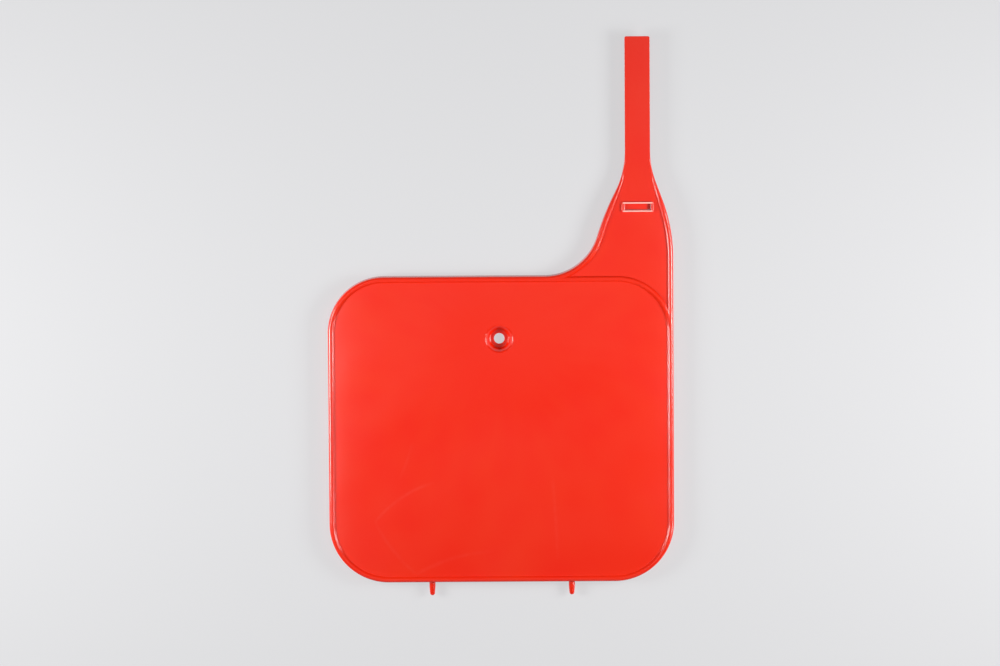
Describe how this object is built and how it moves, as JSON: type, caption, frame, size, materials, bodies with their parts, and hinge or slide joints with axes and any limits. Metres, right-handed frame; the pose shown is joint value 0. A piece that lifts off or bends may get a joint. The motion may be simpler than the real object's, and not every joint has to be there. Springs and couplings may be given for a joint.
{
  "type": "racing number board",
  "caption": "Front number board for an off-road motorbike: rounded panel with a beaded rim, a dished bolt hole, locating pegs and an arm that ends in a ratchet strap",
  "frame": {"origin": "centre of the bounding box in the plan, at the height of the rim's rear edge, on which the board lies", "axes": "+X to the arm's side of the panel, +Y from the pegs to the strap's end, +Z out of the front face"},
  "size_m": [0.235, 0.3802, 0.0094],
  "materials": {
    "board_plastic": "gloss, moulded polypropylene"
  },
  "bodies": {
    "root": {"number_board": "board_plastic"}
  },
  "joints": []
}
